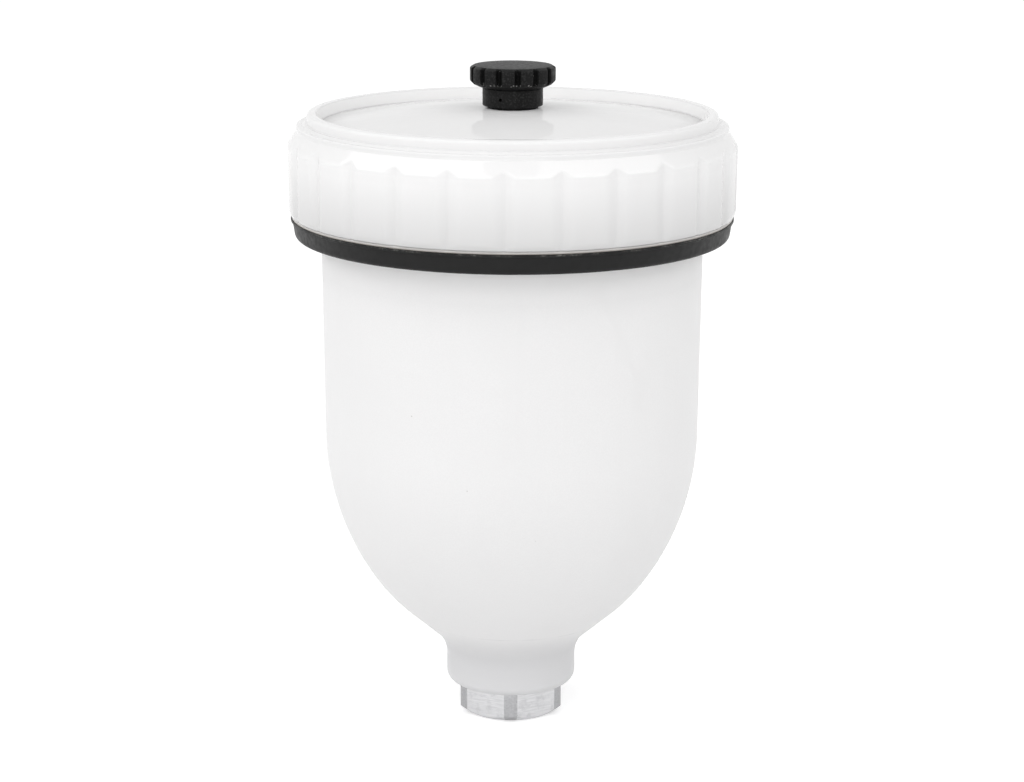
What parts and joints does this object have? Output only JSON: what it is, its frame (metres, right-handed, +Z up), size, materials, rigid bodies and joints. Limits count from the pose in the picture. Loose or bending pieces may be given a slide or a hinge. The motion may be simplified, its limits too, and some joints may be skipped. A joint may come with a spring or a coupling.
{
  "type": "gravity-feed paint cup with screw lid",
  "caption": "Milky plastic gravity-feed paint cup for a spray gun, on a threaded hexagonal fitting, closed by a fluted screw lid with a black vent knob.",
  "frame": {"origin": "the middle of the metal fitting's bottom face", "axes": "+Z up along the cup's axis, from the outlet to the lid; -Y is the side that faces the camera in the picture"},
  "size_m": [0.1096, 0.1096, 0.1639],
  "materials": {
    "cup_plastic": "satin, milky",
    "lid_plastic": "glossy, milky",
    "aluminium": "machined",
    "black_rubber": "matte",
    "black_plastic": "fine-grained",
    "nylon": "matte",
    "strainer_plastic": "matte",
    "mesh": "woven"
  },
  "bodies": {
    "cup": {"cup_body": "cup_plastic", "outlet_fitting": "aluminium", "fitting_washer": "nylon", "seal_ring": "black_rubber"},
    "strainer": {"strainer_frame": "strainer_plastic", "strainer_mesh": "mesh"},
    "gasket": {"lid_gasket": "nylon"},
    "lid": {"lid_cap": "lid_plastic", "vent_washer": "black_rubber", "vent_seat": "black_plastic", "vent_nut": "black_plastic"},
    "stem_seal": {"vent_seal": "black_rubber"},
    "knob": {"vent_knob": "black_plastic"}
  },
  "joints": [
    {"name": "strainer_lift", "type": "slide", "parent": "cup", "child": "strainer", "axis": [0, 0, 1], "range_m": [0, 0.09]},
    {"name": "lid_rise", "type": "slide", "parent": "cup", "child": "gasket", "axis": [0, 0, 1], "range_m": [0, 0.0211]},
    {"name": "lid_turn", "type": "hinge", "parent": "gasket", "child": "lid", "pos_m": [0, 0, 0.128], "axis": [0, 0, 1], "range_deg": [0, 1260]},
    {"name": "knob_rise", "type": "slide", "parent": "lid", "child": "stem_seal", "axis": [0, 0, 1], "range_m": [0, 0.00101]},
    {"name": "knob_turn", "type": "hinge", "parent": "stem_seal", "child": "knob", "pos_m": [0, 0, 0.159], "axis": [0, 0, 1], "range_deg": [0, 480]}
  ],
  "couplings": [
    {"joint": "lid_rise", "follows": "lid_turn", "m_per_rad": 0.00095493},
    {"joint": "knob_rise", "follows": "knob_turn", "m_per_rad": 0.00011937}
  ]
}
